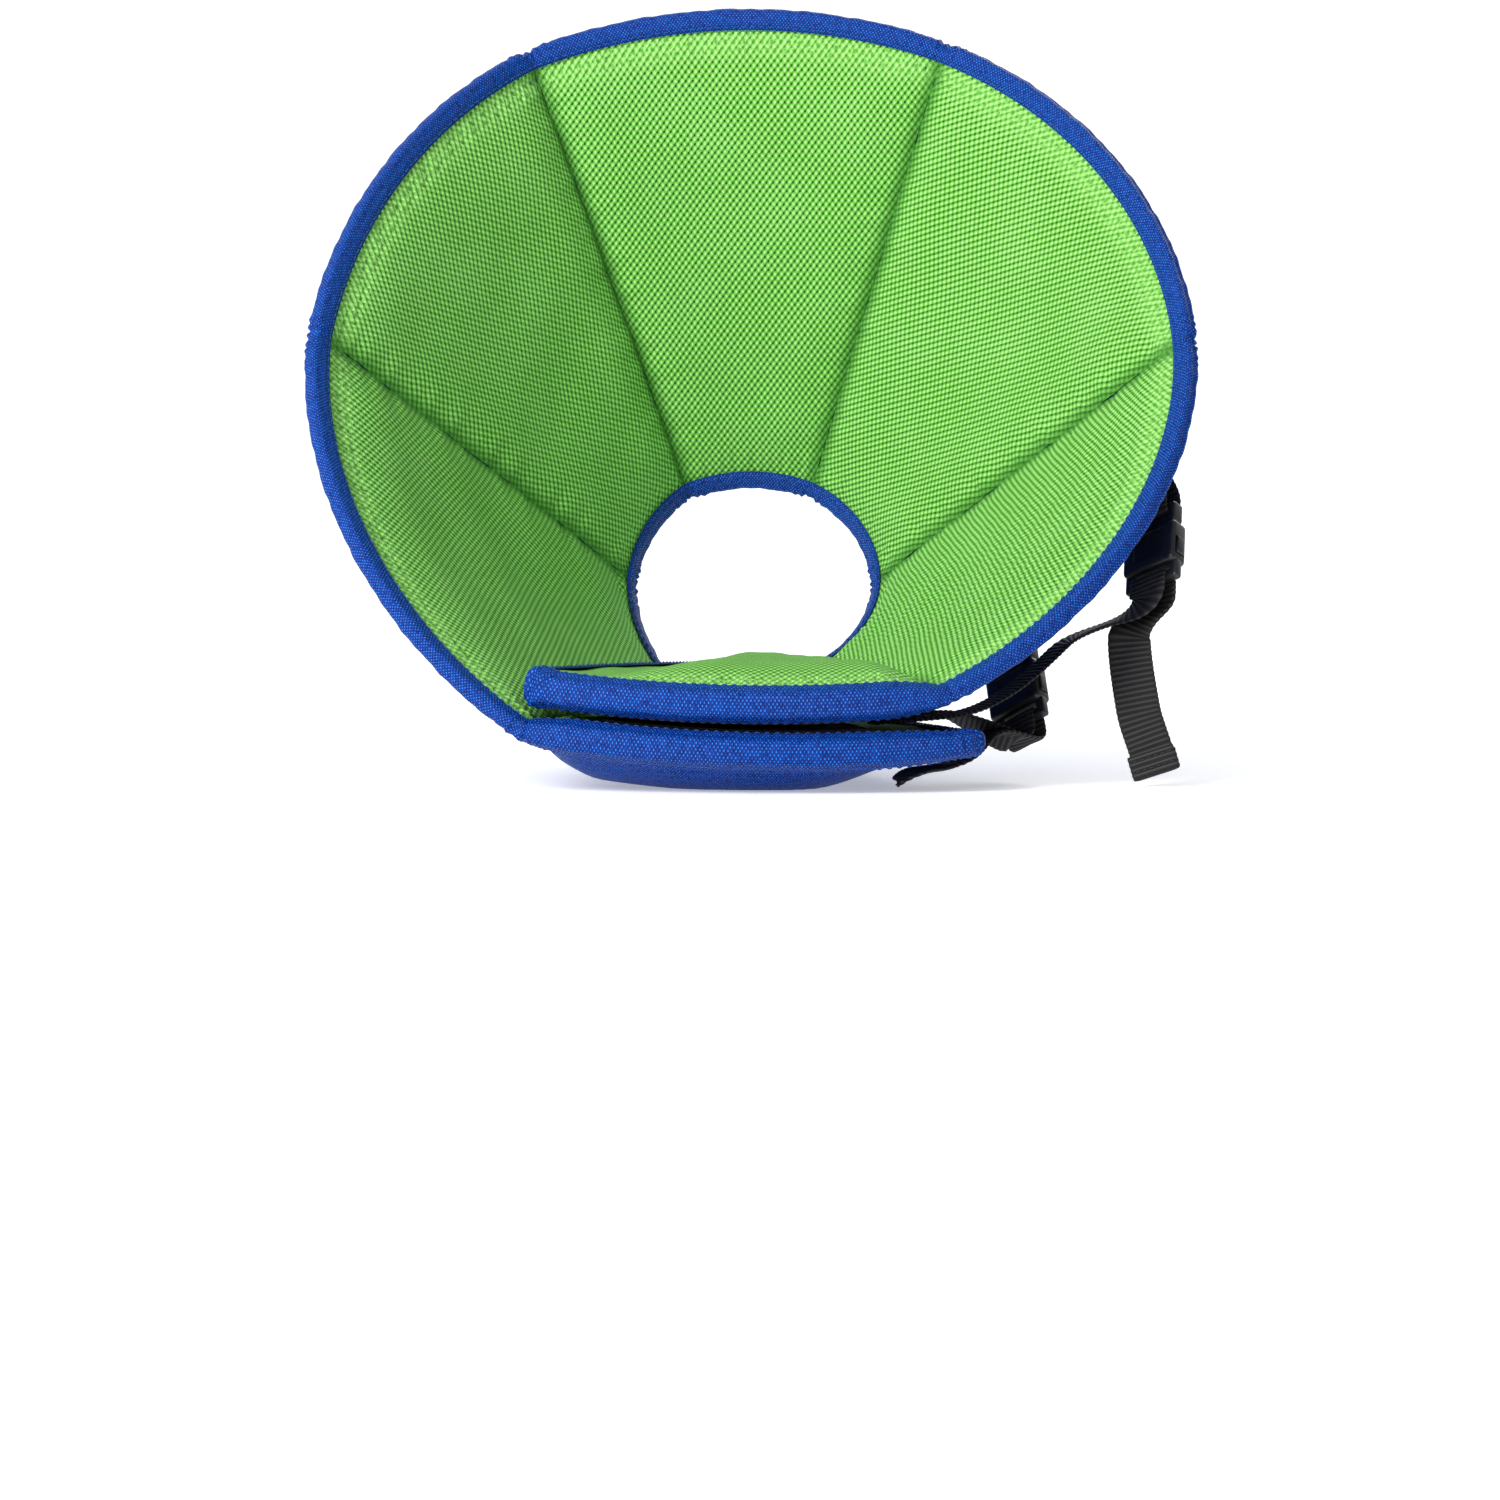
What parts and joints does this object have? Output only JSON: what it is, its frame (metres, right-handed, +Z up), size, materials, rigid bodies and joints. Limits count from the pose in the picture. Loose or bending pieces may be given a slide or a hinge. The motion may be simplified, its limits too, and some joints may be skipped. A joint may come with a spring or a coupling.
{
  "type": "elizabethan collar",
  "caption": "Soft padded recovery cone of stitched fan panels, blue outside and green air mesh inside, closed by overlapping flaps and buckled webbing straps.",
  "frame": {"origin": "on the surface that the collar lies on, under the middle of its box", "axes": "+Z up; the wide rim opens towards -Y and up, and the neck opening faces +Y; +X is the side with the buckles"},
  "size_m": [0.312, 0.2496, 0.2858],
  "materials": {
    "outer_cover": "royal blue oxford cloth over foam, bound with the same cloth",
    "lining": "bright green air mesh",
    "webbing": "black ribbed webbing and hook-and-loop tape",
    "buckle": "black moulded plastic, satin"
  },
  "bodies": {
    "root": {"panel_inner_flap": "outer_cover", "panel_lower_right": "outer_cover", "panel_upper_right": "outer_cover", "panel_top": "outer_cover", "panel_upper_left": "outer_cover", "panel_lower_left": "outer_cover", "panel_outer_flap": "outer_cover", "edge_binding": "outer_cover", "mesh_lining": "lining", "fastening_tape_inner_flap": "webbing", "fastening_tape_outer_flap": "webbing", "strap_front": "webbing", "strap_rear": "webbing", "strap_anchor_front": "webbing", "strap_anchor_rear": "webbing", "buckle_plug_front": "buckle", "buckle_plug_rear": "buckle", "buckle_socket_front": "buckle", "buckle_socket_rear": "buckle"}
  },
  "joints": []
}
